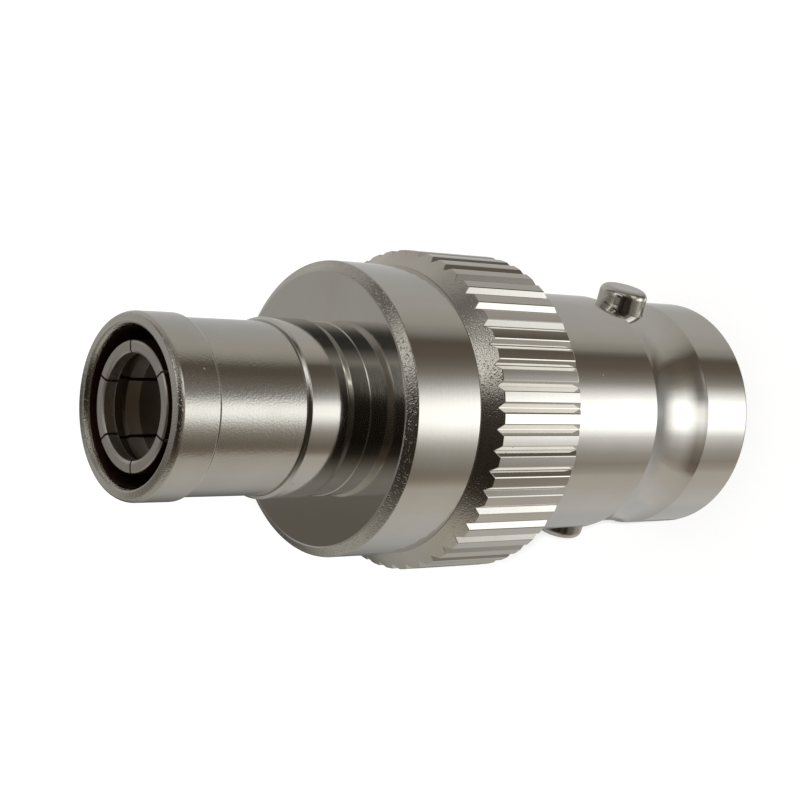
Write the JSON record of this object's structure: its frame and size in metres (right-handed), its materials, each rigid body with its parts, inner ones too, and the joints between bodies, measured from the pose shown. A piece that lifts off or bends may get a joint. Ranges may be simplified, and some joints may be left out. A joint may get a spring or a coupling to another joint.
{
  "type": "bnc to smb adapter",
  "caption": "Straight coaxial adapter with a knurled collar: a bayonet socket with side studs at one end and a shrouded spring-finger push-on socket at the other.",
  "frame": {"origin": "on the adapter's axis, in the plane of the BNC mouth's face, on which it stands", "axes": "+Z along the adapter's axis from the BNC mouth to the SMB mouth, X through the two bayonet studs"},
  "size_m": [0.0122, 0.0122, 0.0272],
  "materials": {
    "nickel": "bright nickel plate on turned brass",
    "spring_nickel": "satin nickel plate on spring bronze",
    "gold": "thin gold plate on bronze",
    "ptfe": "white PTFE, waxy and matt"
  },
  "bodies": {
    "root": {"bnc_body": "nickel", "bayonet_studs": "nickel", "smb_body": "nickel", "smb_shroud": "nickel", "smb_collet": "spring_nickel", "smb_insulator": "ptfe", "smb_socket": "gold", "bnc_insulator": "ptfe", "bnc_socket": "gold"}
  },
  "joints": []
}
